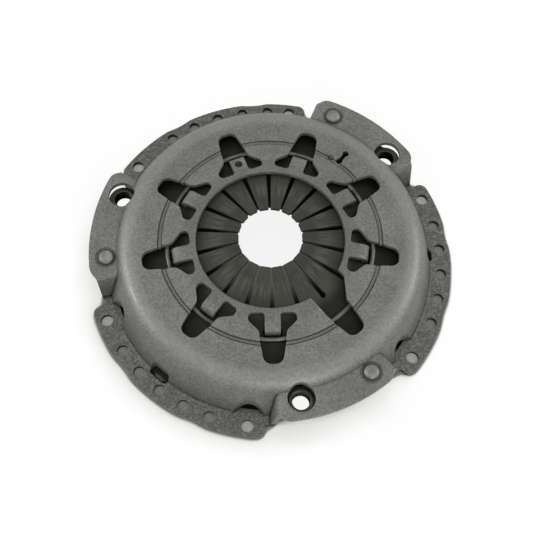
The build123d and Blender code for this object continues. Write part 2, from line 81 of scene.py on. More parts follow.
class Wire:
    """A shader socket. Sums, differences and products of wires add Math nodes; node() adds any other."""

    def __init__(self, tree, socket):
        self.tree = tree
        self.socket = socket

    def node(self, kind, settings, values, output=None):
        """Adds a node, makes its settings, then fills its sockets by name, and wraps one output."""
        made = self.tree.nodes.new(kind)
        for name, setting in settings.items():
            setattr(made, name, setting)
        for name, value in values.items():
            known = [socket for socket in made.inputs if name in (socket.identifier, socket.name)]
            socket = made.inputs[name] if isinstance(name, int) else known[0]
            if isinstance(value, Wire):
                self.tree.links.new(value.socket, socket)
            else:
                socket.default_value = value
        outputs = [socket for socket in made.outputs if output in (socket.identifier, socket.name, None)]
        return Wire(self.tree, outputs[0] if outputs else None)

    def math(self, operation, *values):
        """A Math node on these values."""
        return self.node("ShaderNodeMath", {"operation": operation}, dict(enumerate(values)))

    def __add__(self, other):
        return self.math("ADD", self, other)

    def __sub__(self, other):
        return self.math("SUBTRACT", self, other)

    def __rsub__(self, other):
        return self.math("SUBTRACT", other, self)

    def __mul__(self, other):
        return self.math("MULTIPLY", self, other)

    __radd__ = __add__
    __rmul__ = __mul__

    def step(self, low, high):
        """0 below low, 1 above high and a smooth rise between; high may be the lower of the two."""
        settings = {"interpolation_type": "SMOOTHSTEP", "clamp": True}
        return self.node("ShaderNodeMapRange", settings, {"Value": self, "From Min": low, "From Max": high})

    def band(self, middle, half, soft):
        """1 within half of the middle, falling to 0 over soft on each side."""
        return self.math("ABSOLUTE", self - middle).step(half + soft, half)

    def tint(self, first, second):
        """Colour between two colours: the first where this is 0, the second where it is 1."""
        values = {"Factor_Float": self, "A_Color": first, "B_Color": second}
        return self.node("ShaderNodeMix", {"data_type": "RGBA"}, values, "Result_Color")

    def noise(self, scale, detail=4.0, roughness=0.55):
        """Cloudy noise from 0 to 1 on this vector, with scale features in a metre."""
        values = {"Vector": self, "Scale": scale, "Detail": detail, "Roughness": roughness}
        return self.node("ShaderNodeTexNoise", {}, values, "Fac")

    def stretched(self, x, y, z):
        """This vector with its three parts scaled."""
        return self.node("ShaderNodeVectorMath", {"operation": "MULTIPLY"}, {0: self, 1: (x, y, z)})

    def parts(self):
        """The three parts of this vector."""
        return [self.node("ShaderNodeSeparateXYZ", {}, {"Vector": self}, axis) for axis in "XYZ"]

    def joined(self, x, y, z):
        """A vector from three values."""
        return self.node("ShaderNodeCombineXYZ", {}, {"X": x, "Y": y, "Z": z})


def colour(red, green, blue):
    """A colour with full alpha."""
    return (red, green, blue, 1.0)


def new_material(name):
    """An empty material, and the wire of its Object coordinates."""
    material = bpy.data.materials.new(name)
    material.use_nodes = True
    material.node_tree.nodes.clear()
    start = Wire(material.node_tree, None)
    return material, start.node("ShaderNodeTexCoord", {}, {}, "Object")


def cylinder_parts(place):
    """Distance from the Z axis, angle about it in radians, and height, of a place."""
    x, y, z = place.parts()
    radius = place.math("SQRT", x * x + y * y)
    return radius, place.math("ARCTAN2", y, x), z


def distance_from(place, x, y):
    """Distance in plan from the vertical line through a point."""
    east, north, _ = place.parts()
    east, north = east - x, north - y
    return place.math("SQRT", east * east + north * north)


def corner_shade(place, reach):
    """1 deep in corners and grooves within reach, 0 on open faces: the mask for painted shade there."""
    settings = {"samples": 8, "only_local": True}
    open_sky = place.node("ShaderNodeAmbientOcclusion", settings, {"Distance": reach}, "AO")
    return open_sky.step(0.93, 0.70)


def edge_wear(place, width):
    """1 on outside edges and in corners narrower than width, 0 on open faces."""
    rounded = place.node("ShaderNodeBevel", {"samples": 6}, {"Radius": width})
    flat = place.node("ShaderNodeNewGeometry", {}, {}, "Normal")
    alike = place.node("ShaderNodeVectorMath", {"operation": "DOT_PRODUCT"}, {0: rounded, 1: flat}, "Value")
    return alike.step(0.995, 0.80)


def close_metal(place, base, roughness, metallic, height, bevel, shine=0.5):
    """Ends a metal: heights in metres make its bump, over edges that look rounded by the bevel."""
    rounded = place.node("ShaderNodeBevel", {"samples": 6}, {"Radius": bevel})
    normal = place.node("ShaderNodeBump", {}, {"Height": height, "Distance": 1.0, "Normal": rounded})
    values = {"Base Color": base, "Roughness": roughness, "Metallic": metallic, "Normal": normal}
    values["Specular IOR Level"] = shine
    surface = place.node("ShaderNodeBsdfPrincipled", {}, values)
    place.node("ShaderNodeOutputMaterial", {}, {"Surface": surface})


def cast_iron():
    """Sand-cast grey iron with a ground friction face of fine rings."""
    skin = colour(0.030, 0.029, 0.026)
    dust = colour(0.062, 0.054, 0.044)
    dull_ground = colour(0.200, 0.195, 0.190)
    bright_ground = colour(0.330, 0.325, 0.315)
    face_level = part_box("pressure_plate")[0].z
    material, place = new_material("cast_iron")
    radius, angle, height = cylinder_parts(place)
    face = height.step(face_level + 0.45 * MM, face_level + 0.15 * MM)
    sand = place.noise(900.0, 5.0, 0.65)
    blotches = place.noise(38.0, 3.0)
    rings = place.joined(radius * 2600.0, angle * 0.7, 0.0).noise(1.0, 3.0, 0.7)
    cast = blotches.step(0.35, 0.75).tint(skin, dust)
    cut = (rings * 0.8 + blotches * 0.2).tint(dull_ground, bright_ground)
    close_metal(
        place,
        base=face.tint(cast, cut),
        roughness=face * -0.27 + 0.66 + sand * 0.08,
        metallic=face * 0.45 + 0.35,
        height=sand * (1 - face) * 0.00016 + rings * face * 0.000006,
        bevel=0.5 * MM,
    )
    return material


def finish_node(name, material):
    """Gives a CAD node its material."""
    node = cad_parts[name]
    node.data.materials.clear()
    node.data.materials.append(material)


finish_node("pressure_plate", cast_iron())


# ---------------------------------------------------------------------------------------------------
# Three hollow steel rivets hold the strap packs to the plate's ears. Each is a short tube whose two
# ends are rolled over into round rims, and the floor seen through its bore is painted white.

def make_piece(name, points, faces):
    """A smooth mesh object from points and faces in metres: doubles merged, faces turned outwards."""
    mesh = bpy.data.meshes.new(name)
    mesh.from_pydata(points.reshape(-1, 3), [], faces)
    work = bmesh.new()
    work.from_mesh(mesh)
    bmesh.ops.remove_doubles(work, verts=work.verts, dist=0.001 * MM)
    bmesh.ops.recalc_face_normals(work, faces=work.faces)
    work.to_mesh(mesh)
    work.free()
    mesh.polygons.foreach_set("use_smooth", np.full(len(mesh.polygons), True))
    piece = bpy.data.objects.new(name, mesh)
    bpy.context.scene.collection.objects.link(piece)
    return piece


def grid_faces(rows, columns, around_rows=False, around_columns=False):
    """Four-cornered faces of a grid of rows x columns points; either way may run round to its start."""
    row = np.arange(rows if around_rows else rows - 1)[:, None]
    column = np.arange(columns if around_columns else columns - 1)[None, :]
    next_row = (row + 1) % rows
    next_column = (column + 1) % columns
    corners = [row * columns + column, row * columns + next_column]
    corners += [next_row * columns + next_column, next_row * columns + column]
    return np.stack(np.broadcast_arrays(*corners), axis=-1).reshape(-1, 4)


def turned(profile, centre, steps):
    """Surface of revolution: each profile point (r, z) goes round a vertical axis through the centre,
    at (cx + r cos t, cy + r sin t, z) for t from 0 to a full turn."""
    turn = np.linspace(0, 2 * pi, steps, endpoint=False)[:, None]
    radius, height = profile[None, :, 0], profile[None, :, 1]
    x = centre[0] + radius * np.cos(turn)
    y = centre[1] + radius * np.sin(turn)
    return np.stack(np.broadcast_arrays(x, y, height), axis=-1)


def middle_of(node):
    """Middle of a CAD node's box, and its lowest and highest level."""
    low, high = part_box(node)
    return (low + high) / 2, low.z, high.z


BORE = 6.3 * MM
RIM_REACH = 9.2 * MM
RIM_HEIGHT = 1.4 * MM
TUBE_WALL = 1.2 * MM
TUBE_STEPS = 72


def hollow_profile(low, high):
    """Closed outline of the rolled tube: a fat C. Its rims are squarish half ellipses, the sine and cosine
    to the power 0.8, from the bore to the rim's reach, and between them the shank is a straight tube."""
    swing = np.linspace(-pi / 2, pi, 17)
    middle = (BORE + RIM_REACH) / 2
    half = (RIM_REACH - BORE) / 2
    rim_r = middle + half * np.sign(-np.cos(swing)) * np.abs(np.cos(swing)) ** 0.8
    rim_z = high - RIM_HEIGHT / 2 + RIM_HEIGHT / 2 * np.sign(np.sin(swing)) * np.abs(np.sin(swing)) ** 0.8
    shank = BORE + TUBE_WALL
    keep = (rim_r >= shank) | (rim_z > high - RIM_HEIGHT / 2)
    upper = np.stack([rim_r[keep], rim_z[keep]], axis=1)[::-1]
    upper = np.concatenate([upper, [[shank, high - RIM_HEIGHT]]])
    lower = upper[::-1] * (1, -1) + (0, low + high)
    return np.concatenate([upper, lower])


def rivet_steel(name, base, worn):
    """Cold-headed steel: dull, rubbed brighter in smears on the crown, with painted shade down the sides.
    """
    shade = colour(0.035, 0.035, 0.030)
    material, place = new_material(name)
    grain = place.noise(1500.0, 3.0)
    smears = place.noise(160.0, 3.0)
    rubbed = smears.step(0.35, 0.85)
    # Painted shade: the head's sides grow darker as they turn from upward.
    _, _, upward = place.node("ShaderNodeNewGeometry", {}, {}, "Normal").parts()
    close_metal(
        place,
        base=(upward.step(0.97, 0.60) * 0.75).tint(rubbed.tint(base, worn), shade),
        roughness=0.46 - rubbed * 0.10 + grain * 0.10,
        metallic=0.65,
        height=grain * 0.00001,
        bevel=0.2 * MM,
    )
    return material


hollow_finish = rivet_steel("hollow_rivet_steel", colour(0.055, 0.055, 0.048), colour(0.120, 0.120, 0.105))
for number in (1, 2, 3):
    node = f"ear_rivet_{number}"
    centre, low, high = middle_of(node)
    points = turned(hollow_profile(low, high), centre, TUBE_STEPS)
    rivet = make_piece(f"hollow_rivet_{number}", points, grid_faces(*points.shape[:2], True, True))
    rivet.data.materials.append(hollow_finish)
    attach(rivet, "plate_body")
    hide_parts(node)


# ---------------------------------------------------------------------------------------------------
# Three packs of three blued spring-steel straps hang from the lobes and carry the plate's ears. They
# drive the plate round and flex as it lifts.

STRAP_SHEET = 0.8 * MM
STRAP_HALF = 8.0 * MM
COVER_EYE = 9.5 * MM
COVER_EYE_HOLE = 4.1 * MM
EAR_EYE = 11.0 * MM
EAR_EYE_HOLE = 7.8 * MM
EYE_REACH = 10.0 * MM
EAR_EYE_REACH = 11.6 * MM
COVER_FLAT = 11.0 * MM
EAR_FLAT = 14.0 * MM
STRAP_EDGE = 0.12 * MM
EYE_ROWS = 4
EYE_STEPS = 34
STRIP_ROWS = 25
STRIP_LINES = 9


def eye_patch(hole, radius, reach, lines):
    """Flat ring about a rivet. Its outline is rho(t): the eye's circle, or further out where the strap's
    two sides (half / sin t) and the joint line (reach / cos t) are; rows run from the hole to rho."""
    joint_turn = np.arctan2(lines, reach)
    rest = np.linspace(joint_turn[-1], 2 * pi + joint_turn[0], EYE_STEPS)[1:-1]
    turn = np.concatenate([joint_turn, rest])
    cosine, sine = np.cos(turn), np.abs(np.sin(turn))
    side = np.minimum(reach / np.maximum(cosine, 1e-6), STRAP_HALF / np.maximum(sine, 1e-6))
    outline = np.where(cosine > 0, np.maximum(radius, side), radius)
    share = np.linspace(0, 1, EYE_ROWS)[:, None]
    rho = hole + (outline - hole) * share
    return np.stack([rho * np.cos(turn), rho * np.sin(turn)], axis=-1)


def strap_sheet(length, drop):
    """A strap's upper surface from the cover rivet at x 0 to the ear rivet at x length. Two ring patches
    and a plain strip between them, lowered between their flat ends by drop times a smooth S in x,
    3 s^2 - 2 s^3."""
    lines = np.linspace(-STRAP_HALF, STRAP_HALF, STRIP_LINES)
    near = eye_patch(COVER_EYE_HOLE, COVER_EYE, EYE_REACH, lines)
    far = eye_patch(EAR_EYE_HOLE, EAR_EYE, EAR_EYE_REACH, lines) * (-1, 1) + (length, 0)
    along = np.linspace(EYE_REACH, length - EAR_EYE_REACH, STRIP_ROWS)
    patches = [near, np.stack(np.meshgrid(along, lines, indexing="ij"), axis=-1), far]
    faces = []
    first = 0
    for patch, closed in zip(patches, (True, False, True)):
        faces.append(grid_faces(*patch.shape[:2], around_columns=closed) + first)
        first += patch.shape[0] * patch.shape[1]
    flat = np.concatenate([patch.reshape(-1, 2) for patch in patches])
    slope = np.clip((flat[:, 0] - COVER_FLAT) / (length - COVER_FLAT - EAR_FLAT), 0, 1)
    level = -drop * slope * slope * (3 - 2 * slope)
    return np.column_stack([flat, level]), np.concatenate(faces)


def thicken(piece, sheet, edge):
    """Turns a sheet's faces upwards, and gives it its thickness below them, small round edges, and
    flat-looking faces."""
    if sum(face.normal.z for face in piece.data.polygons) < 0:
        piece.data.flip_normals()
    solid = piece.modifiers.new("sheet", "SOLIDIFY")
    solid.thickness = sheet
    solid.offset = -1
    solid.use_even_offset = True
    rounds = piece.modifiers.new("edges", "BEVEL")
    rounds.width = edge
    rounds.segments = 2
    rounds.limit_method = "ANGLE"
    rounds.angle_limit = radians(50)
    rounds.use_clamp_overlap = False
    shading = piece.modifiers.new("shading", "WEIGHTED_NORMAL")
    shading.keep_sharp = True


def strap_steel():
    """Rolled strip, blued, with faint marks in it."""
    blue = colour(0.040, 0.044, 0.052)
    worn_blue = colour(0.075, 0.078, 0.082)
    material, place = new_material("strap_steel")
    streaks = place.stretched(1.0, 1.0, 4.0).noise(420.0, 3.0)
    clouds = place.noise(70.0, 2.0)
    close_metal(
        place,
        base=clouds.step(0.3, 0.7).tint(blue, worn_blue),
        roughness=0.36 + streaks * 0.12,
        metallic=0.75,
        height=streaks * 0.000008,
        bevel=0.15 * MM,
    )
    return material


strap_finish = strap_steel()
for number in (1, 2, 3):
    start, _, _ = middle_of(f"cover_rivet_{number}")
    end, _, _ = middle_of(f"ear_rivet_{number}")
    run = end - start
    length = sqrt(run.x ** 2 + run.y ** 2)
    across = Matrix(((run.x / length, -run.y / length), (run.y / length, run.x / length)))
    for leaf in "abc":
        node = f"drive_strap_{number}_{leaf}"
        _, low, high = middle_of(node)
        points, faces = strap_sheet(length, high - low - STRAP_SHEET)
        flat = points[:, :2] @ np.array(across).T + (start.x, start.y)
        points = np.column_stack([flat, points[:, 2] + high])
        strap = make_piece(f"strap_leaf_{number}_{leaf}", points, faces)
        thicken(strap, STRAP_SHEET, STRAP_EDGE)
        strap.data.materials.append(strap_finish)
        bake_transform(strap)
        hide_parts(node)


# ---------------------------------------------------------------------------------------------------
# The cover is one stamping of 4 mm sheet, phosphated and lightly oiled, a matt middle grey. The press
# left faint draw marks down its walls, and handling has rubbed its punched edges bright.

SHOULDER = 105.5 * MM
INNER_RING = 65.0 * MM
BEAD = 81.2 * MM
FOOT_LEVEL = 5.4 * MM
SCRATCH_CIRCLE = 107.7 * MM
SCRATCH_ANGLE = radians(-157.7)
PUNCH_MARK = (48.0 * MM, 67.6 * MM)
RIVET_SEAT = 6.6 * MM
FLANGE_HOLE_CIRCLE = 131.7 * MM
FLANGE_HOLE = 4.5 * MM


def cover_steel():
    """Phosphated sheet steel: grey, cloudy and finely grained, with draw marks down its walls and darker
    towards their bottom, in part painted shade. A painted highlight runs along the shoulder, where the
    steel is also smoother, and along the bead's crest, and painted shade lies in its corners, along the
    bead's sides, at the wall's foot, in its holes and round its rivets. Pits and a punch mark are dark."""
    grey = colour(0.140, 0.143, 0.130)
    pale = colour(0.200, 0.203, 0.191)
    oily = colour(0.070, 0.072, 0.062)
    dirt_and_shade_tone = colour(0.016, 0.016, 0.013)
    bright = colour(0.36, 0.36, 0.34)
    material, place = new_material("cover_steel")
    radius, angle, height = cylinder_parts(place)
    clouds = place.noise(26.0, 4.0)
    patches = place.noise(75.0, 4.0, 0.6)
    pits = place.noise(260.0, 4.0, 0.6)
    grain = place.noise(1100.0, 4.0, 0.7)
    speckle = place.noise(620.0, 2.0, 0.5)
    drawn = place.joined(angle * 46.0, radius * 9.0, height * 9.0).noise(1.0, 4.0, 0.7)
    turned_marks = place.joined(radius * 420.0, angle * 1.2, 0.0).noise(1.0, 2.0)
    wall = radius.step(104 * MM, 114 * MM)
    flange = height.step(8 * MM, 5 * MM)
    fine = grain * 0.5 + speckle * 0.5
    rub = edge_wear(place, 0.8 * MM) * patches.step(0.35, 0.65)
    # Painted highlight along the shoulder, which also gets a lower roughness below.
    shoulder_highlight = radius.band(SHOULDER, 2 * MM, 7 * MM) * height.step(30 * MM, 35 * MM)
    body = (clouds * 0.4 + patches * 0.35 + pits * 0.25).step(0.36, 0.64).tint(grey, pale)
    stained = (drawn * wall + patches * (1 - wall)).step(0.58, 0.80)
    # Darker towards the bottom of the walls, the lobes and the flange, in part painted shade.
    body = (stained * 0.35 + height.step(25 * MM, 8 * MM) * 0.50).tint(body, oily)
    body = ((1 - fine).step(0.46, 0.62) * (flange * 0.30 + 0.50)).tint(body, oily)
    body = (fine.step(0.50, 0.64) * (flange * 0.16 + 0.24)).tint(body, bright)
    body = (shoulder_highlight * 0.26 + rub * 0.5).tint(body, bright)
    body = (radius.step(INNER_RING + 2 * MM, INNER_RING - 2 * MM) * 0.25).tint(body, oily)
    # Painted highlight along the bead's crest.
    bead_highlight = radius.band(BEAD, 0.45 * MM, 0.4 * MM)
    body = (bead_highlight * 0.30).tint(body, bright)
    scratch = radius.band(SCRATCH_CIRCLE, 0.2 * MM, 0.3 * MM) * angle.band(SCRATCH_ANGLE, 0.05, 0.02)
    body = (scratch * 0.8).tint(body, bright)
    # Painted shade along both sides of the bead.
    edges = radius.band(BEAD, 0.90 * MM, 0.3 * MM)
    lines = radius.band(BEAD, 1.55 * MM, 0.4 * MM) - edges
    # Painted shade in the crease at the foot of the wall.
    foot = height.band(FOOT_LEVEL, 0.5 * MM, 0.9 * MM) * radius.step(129 * MM, 128 * MM)
    mark = distance_from(place, *PUNCH_MARK).band(1.6 * MM, 0.4 * MM, 0.3 * MM)
    blots = pits.step(0.60, 0.72) * flange
    _, _, upward = place.node("ShaderNodeNewGeometry", {}, {}, "Normal").parts()
    # Painted shade on the steep walls of the flange's holes.
    hole_wall_shade = upward.step(0.75, 0.45) * flange * radius.band(FLANGE_HOLE_CIRCLE, FLANGE_HOLE, 0.4 * MM)
    # Dark marks: in part painted shade (corners, bead sides, wall foot, hole walls, rings round the
    # rivets), in part real (the punch mark and pits on the flange).
    dirt_and_shade = corner_shade(place, 2.5 * MM) * 0.75 + lines * (patches * 0.9 + 0.45) + mark * 0.8
    dirt_and_shade = dirt_and_shade + foot * (clouds * 0.9 + 0.1) + blots * 0.5 + hole_wall_shade * 0.9
    # Painted shadow in a ring round each rivet head.
    for number in (1, 2, 3):
        centre, _, _ = middle_of(f"cover_rivet_{number}")
        seat = distance_from(place, centre.x, centre.y).band(RIVET_SEAT, 0.4 * MM, 0.5 * MM)
        dirt_and_shade = dirt_and_shade + seat * 0.6
    relief = grain * 0.00006 + drawn * wall * 0.00007 + turned_marks * 0.000012 + pits * 0.00008
    close_metal(
        place,
        base=dirt_and_shade.math("MINIMUM", dirt_and_shade, 1.0).tint(body, dirt_and_shade_tone),
        roughness=0.48 + patches * 0.14 - rub * 0.12 - shoulder_highlight * 0.10 + grain * 0.06,
        metallic=0.42,
        height=relief - mark * 0.0003,
        bevel=0.6 * MM,
    )
    return material


finish_node("cover", cover_steel())


# ---------------------------------------------------------------------------------------------------
# Three solid steel rivets hold the strap packs to the lobes. Each has a round pressed head in a
# shallow seat on top and a flat set head below.

RIVET_HEAD = 6.0 * MM
RIVET_SHANK = 4.0 * MM
HEAD_RISE = 3.0 * MM
TAIL_RISE = 2.2 * MM
TAIL_ROUND = 0.5 * MM
HEAD_STEPS = 64


def solid_profile(low, high):
    """Outline of the rivet from the top of its head to the bottom of its tail, both on the axis. The
    head is a quarter of a squarish ellipse, and the tail's corners are quarter rounds."""
    swing = np.linspace(0, pi / 2, 13)
    head_r = RIVET_HEAD * np.sin(swing) ** 0.85
    head_z = high - HEAD_RISE + HEAD_RISE * np.cos(swing) ** 0.9
    shank = [[RIVET_SHANK, high - HEAD_RISE], [RIVET_SHANK, low + TAIL_RISE]]
    tail_r = RIVET_HEAD - TAIL_ROUND + TAIL_ROUND * np.cos(swing)
    tail_low = np.stack([tail_r, low + TAIL_ROUND - TAIL_ROUND * np.sin(swing)], axis=1)
    tail_high = (tail_low * (1, -1) + (0, 2 * low + TAIL_RISE))[::-1]
    head = np.stack([head_r, head_z], axis=1)
    return np.concatenate([head, shank, tail_high, tail_low, [[0, low]]])


solid_finish = rivet_steel("solid_rivet_steel", colour(0.170, 0.173, 0.165), colour(0.330, 0.332, 0.320))
for number in (1, 2, 3):
    node = f"cover_rivet_{number}"
    centre, low, high = middle_of(node)
    points = turned(solid_profile(low, high), centre, HEAD_STEPS)
    rivet = make_piece(f"solid_rivet_{number}", points, grid_faces(*points.shape[:2], True))
    rivet.data.materials.append(solid_finish)
    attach(rivet, "cover_body")
    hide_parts(node)


# ---------------------------------------------------------------------------------------------------
# Two rings of drawn steel wire are the edges that the spring rocks between. Each is bent round until
# its cut ends almost meet. The hooked tongues of the cover hold the lower one.

WIRE_GAP = radians(1.2)
WIRE_GAP_MIDDLE = radians(130)
END_ROUND = 0.9 * MM
RING_STEPS = 240
WIRE_STEPS = 20


def wire_ring(node):
    """Round wire on a circle: the section's angle runs round the wire, the row's angle round the axis,
    and the wire's radius shrinks as a quarter circle over the last bit before each cut end."""
    low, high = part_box(node)
    wire = (high.z - low.z) / 2
    circle = (high.y - low.y) / 2 - wire
    ends = END_ROUND / circle
    soft = ends * (1 - np.cos(np.linspace(0, pi / 2, 7)))
    span = 2 * pi - WIRE_GAP
    turn = np.concatenate([soft, np.linspace(ends, span - ends, RING_STEPS)[1:-1], span - soft[::-1]])
    reach = np.clip(np.minimum(turn, span - turn) / ends, 0, 1)
    size = wire - END_ROUND * (1 - np.sqrt(1 - (1 - reach) ** 2))
    size[[0, -1]] = 0
    turn = (turn + WIRE_GAP_MIDDLE + WIRE_GAP / 2)[:, None]
    section = np.linspace(0, 2 * pi, WIRE_STEPS, endpoint=False)[None, :]
    radius = circle + size[:, None] * np.cos(section)
    level = (low.z + high.z) / 2 + size[:, None] * np.sin(section)
    return np.stack([radius * np.cos(turn), radius * np.sin(turn), level], axis=-1)


def wire_steel():
    """Drawn wire under a film of dark oil, with marks along it."""
    oily = colour(0.075, 0.074, 0.064)
    drawn = colour(0.150, 0.148, 0.130)
    material, place = new_material("wire_steel")
    radius, angle, height = cylinder_parts(place)
    marks = place.joined(radius * 2200.0, angle * 14.0, height * 2200.0).noise(1.0, 3.0)
    clouds = place.noise(90.0, 2.0)
    close_metal(
        place,
        base=clouds.step(0.3, 0.7).tint(oily, drawn),
        roughness=0.34 + marks * 0.14,
        metallic=0.8,
        height=marks * 0.000006,
        bevel=0.1 * MM,
    )
    return material


wire_finish = wire_steel()
for node in ("lower_fulcrum_ring", "upper_fulcrum_ring"):
    points = wire_ring(node)
    faces = grid_faces(*points.shape[:2], False, True)
    ring = make_piece(node.replace("fulcrum_ring", "wire_ring"), points, faces)
    ring.data.materials.append(wire_finish)
    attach(ring, "cover_body")
    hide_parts(node)


# ---------------------------------------------------------------------------------------------------
# The diaphragm spring is one dished ring of hardened spring steel. Eighteen slots part it into
# fingers, and eight of them end in a keyhole where a tongue of the cover comes through.

SPRING_SHEET = 2.6 * MM
SPRING_RIM = 107.5 * MM
FULCRUM = 76.2 * MM
KNEE = 42.0 * MM
TIP = 23.6 * MM
BELT_SLOPE = 0.17
FINGER_SLOPE = 0.20
TIP_SLOPE = 0.12
FINGERS = 18
FIRST_SLOT = 10.0
SLOT_AT_TIP = 1.4 * MM
SLOT_AT_ROOT = 4.4 * MM
SLOT_ROOT = 66.0 * MM
SHORT_ROOT = 57.0 * MM
EYE = 4.2 * MM
KEYHOLE_START = 67.6 * MM
KEYHOLE_END = 74.5 * MM
KEYHOLE_HALF = 6.8 * MM
KEYHOLE_ROUND = 2.5 * MM
TIP_ROUND = 1.2 * MM
KNEE_ROUND = 5.0 * MM
SPRING_EDGE = 0.2 * MM
SHORT_SLOT = 310
KEYHOLE_SLOTS = [angle for angle in range(30, 360, 40) if angle != SHORT_SLOT]
COLUMN_SHARES = (0, 0.04, 0.14, 0.3, 0.5, 0.7, 0.86, 0.96, 1)


def round_rows(start, end, count):
    """Radii from start to end, crowded towards the end as the points of a quarter circle are."""
    return start + (end - start) * np.sin(np.linspace(0, pi / 2, count))


def spring_rows():
    """Radii of the grid's rings: even on plain stretches, crowded where a slot's outline turns."""
    rows = [
        round_rows(TIP + TIP_ROUND, TIP, 5),
        np.linspace(TIP + TIP_ROUND, SHORT_ROOT, 26),
        round_rows(SHORT_ROOT, SHORT_ROOT + SLOT_AT_ROOT / 2, 7),
        np.linspace(SHORT_ROOT + SLOT_AT_ROOT / 2, SLOT_ROOT - EYE, 4),
        round_rows(SLOT_ROOT, SLOT_ROOT - EYE, 7),
        round_rows(SLOT_ROOT, SLOT_ROOT + EYE, 8),
        round_rows(KEYHOLE_START + KEYHOLE_ROUND, KEYHOLE_START, 6),
        round_rows(KEYHOLE_END - KEYHOLE_ROUND, KEYHOLE_END, 7),
        np.linspace(KEYHOLE_END, SPRING_RIM, 18),
    ]
    joined = np.sort(np.concatenate(rows))
    return joined[np.concatenate([[True], np.diff(joined) > 0.08 * MM])]


def slot_half(kind, radius):
    """Half width of a slot at each radius: a taper that ends at its root, and the root's own opening,
    a circle sqrt(R^2 - d^2) or a keyhole with quarter-round corners; 0 beyond it."""
    taper = SLOT_AT_TIP + (SLOT_AT_ROOT - SLOT_AT_TIP) * (radius - TIP) / (SLOT_ROOT - TIP)
    corner = np.clip((TIP + TIP_ROUND - radius) / TIP_ROUND, 0, 1)
    taper = taper / 2 + TIP_ROUND * (1 - np.sqrt(1 - corner ** 2))
    root = {"short": SHORT_ROOT, "eye": SLOT_ROOT, "keyhole": KEYHOLE_START}[kind]
    taper = np.where(radius <= root, taper, 0)
    if kind == "keyhole":
        depth = np.minimum(radius - KEYHOLE_START, KEYHOLE_END - radius)
        bend = np.clip(1 - depth / KEYHOLE_ROUND, 0, 1)
        opening = KEYHOLE_HALF - KEYHOLE_ROUND * (1 - np.sqrt(1 - bend ** 2))
        opening = np.where((depth > 0.05 * MM) & (depth < 1), opening, 0)
    else:
        size = EYE if kind == "eye" else SLOT_AT_ROOT / 2
        opening = np.sqrt(np.clip(size ** 2 - (radius - root) ** 2, 0, None))
    return np.maximum(taper, opening)


def spring_height(radius, fulcrum_level):
    """Height of the upper face: a straight belt outside the fulcrum, and fingers that rise inwards with
    a softer slope inside the knee, joined there over a few millimetres."""
    belt = -(radius - FULCRUM) * BELT_SLOPE
    inside = KNEE - radius
    soft = (np.sqrt(inside ** 2 + KNEE_ROUND ** 2) + inside) / 2
    finger = (FULCRUM - radius) * FINGER_SLOPE - soft * (FINGER_SLOPE - TIP_SLOPE)
    return fulcrum_level + np.where(radius > FULCRUM, belt, finger)


def spring_sheet(fulcrum_level):
    """Upper surface of the spring, one patch of rows x columns for each finger. A column's angle is a
    share of the way from the slot on its right, less that slot's half width, to the slot on its left."""
    radius = spring_rows()
    share = np.array(COLUMN_SHARES)
    step = 360 / FINGERS
    kinds = []
    for index in range(FINGERS):
        angle = round(FIRST_SLOT + index * step)
        kinds.append("keyhole" if angle in KEYHOLE_SLOTS else "short" if angle == SHORT_SLOT else "eye")
    halves = np.array([slot_half(kind, radius) for kind in kinds]) / radius
    middles = np.radians(FIRST_SLOT + step * np.arange(FINGERS))[:, None]
    right = middles + halves
    left = middles + radians(step) - np.roll(halves, -1, axis=0)
    angle = right[:, :, None] + (left - right)[:, :, None] * share
    reach = np.broadcast_to(radius[None, :, None], angle.shape)
    level = spring_height(reach, fulcrum_level)
    points = np.stack([reach * np.cos(angle), reach * np.sin(angle), level], axis=-1)
    patch = grid_faces(len(radius), len(share))
    first = (np.arange(FINGERS) * len(radius) * len(share))[:, None, None]
    return points, (patch + first).reshape(-1, 4)


def spring_steel():
    """Hardened and shot-blasted spring steel under oil: dark, brownish, with rubbed edges, a painted
    highlight in a band at the fingers' knee, and painted shade on the belt under the cover and in corners.
    """
    dark = colour(0.034, 0.034, 0.028)
    brown = colour(0.060, 0.060, 0.048)
    rubbed = colour(0.110, 0.110, 0.096)
    painted_shade = colour(0.010, 0.010, 0.008)
    material, place = new_material("spring_steel")
    radius, angle, height = cylinder_parts(place)
    blast = place.noise(1300.0, 4.0, 0.65)
    clouds = place.noise(48.0, 4.0)
    swept = place.joined(angle * 30.0, radius * 60.0, 0.0).noise(1.0, 3.0)
    # Painted highlight in a band round the fingers' knee, where the bend catches the light.
    knee_highlight = radius.band(40 * MM, 2 * MM, 6 * MM) * swept.step(0.30, 0.70)
    worn = edge_wear(place, 0.5 * MM) * clouds.step(0.3, 0.6)
    body = (clouds * 0.6 + swept * 0.4).step(0.35, 0.66).tint(dark, brown)
    body = (knee_highlight * 0.5).tint(body, rubbed)
    body = (worn * 0.5).tint(body, rubbed)
    # Painted shade: the belt under the cover is near black, and corners are darker.
    close_metal(
        place,
        base=(radius.step(56 * MM, 66 * MM) * 0.85 + corner_shade(place, 6 * MM) * 0.15).tint(body, painted_shade),
        roughness=0.46 + blast * 0.12 - knee_highlight * 0.06,
        metallic=0.40,
        height=blast * 0.00003 + swept * 0.00002,
        bevel=0.3 * MM,
        shine=0.25,
    )
    return material


spring_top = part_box("diaphragm_spring")[1].z
fulcrum_level = spring_top - (FULCRUM - KNEE) * FINGER_SLOPE - (KNEE - TIP) * TIP_SLOPE
points, faces = spring_sheet(fulcrum_level)
spring = make_piece("diaphragm_fingers", points, faces)
thicken(spring, SPRING_SHEET, SPRING_EDGE)
spring.data.materials.append(spring_steel())
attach(spring, "cover_body")
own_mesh(spring)
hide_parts("diaphragm_spring")


# ---------------------------------------------------------------------------------------------------
# The bench: a white floor with the part's shadow, a pool and spots of light painted on it, three weak
# soft lamps low on the left, on the right and in front, and even light from all round. The camera looks
# down on the part from the front.

